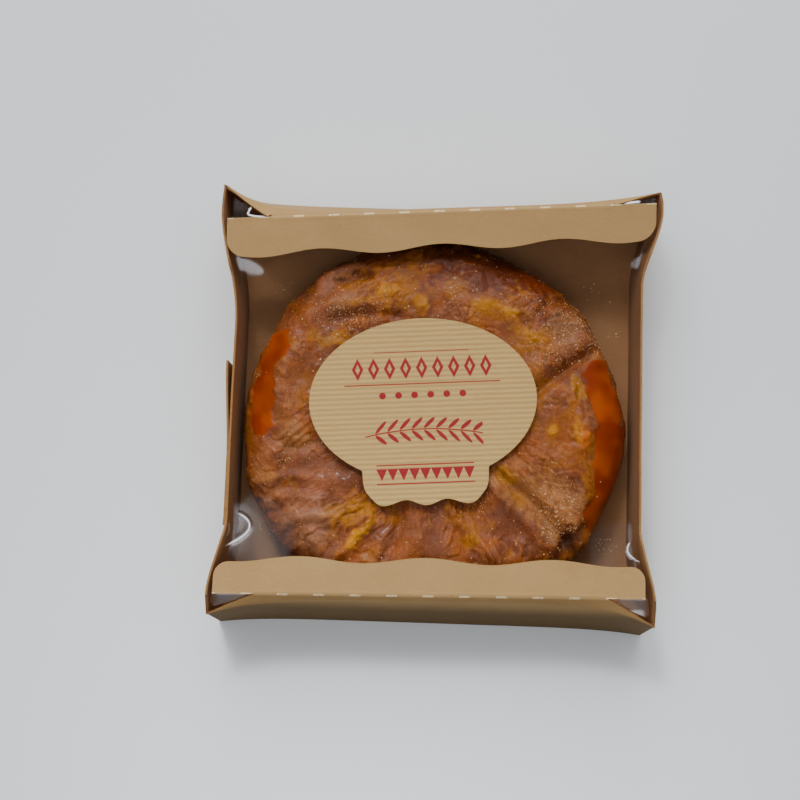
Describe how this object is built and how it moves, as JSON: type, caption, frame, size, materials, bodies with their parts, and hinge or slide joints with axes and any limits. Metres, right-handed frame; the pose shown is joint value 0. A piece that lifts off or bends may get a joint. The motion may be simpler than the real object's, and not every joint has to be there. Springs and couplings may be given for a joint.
{
  "type": "packed kouign amann",
  "caption": "Round kouign amann, a caramelised butter cake, in a shallow kraft card carton with wavy-edged flaps, a clear film window and an oval paper label.",
  "frame": {"origin": "middle of the underside of the back panel, on the face the pack lies on", "axes": "+Z out of the window, +Y to the top flap, +X to the right as the window is looked at"},
  "size_m": [0.2062, 0.2084, 0.046],
  "materials": {
    "kraft_card": "matt kraft",
    "clear_film": "clear gloss",
    "label_paper": "matt",
    "caramel_crust": "glazed crust"
  },
  "bodies": {
    "root": {"carton": "kraft_card", "film_window": "clear_film", "label": "label_paper", "kouign_amann": "caramel_crust"}
  },
  "joints": []
}
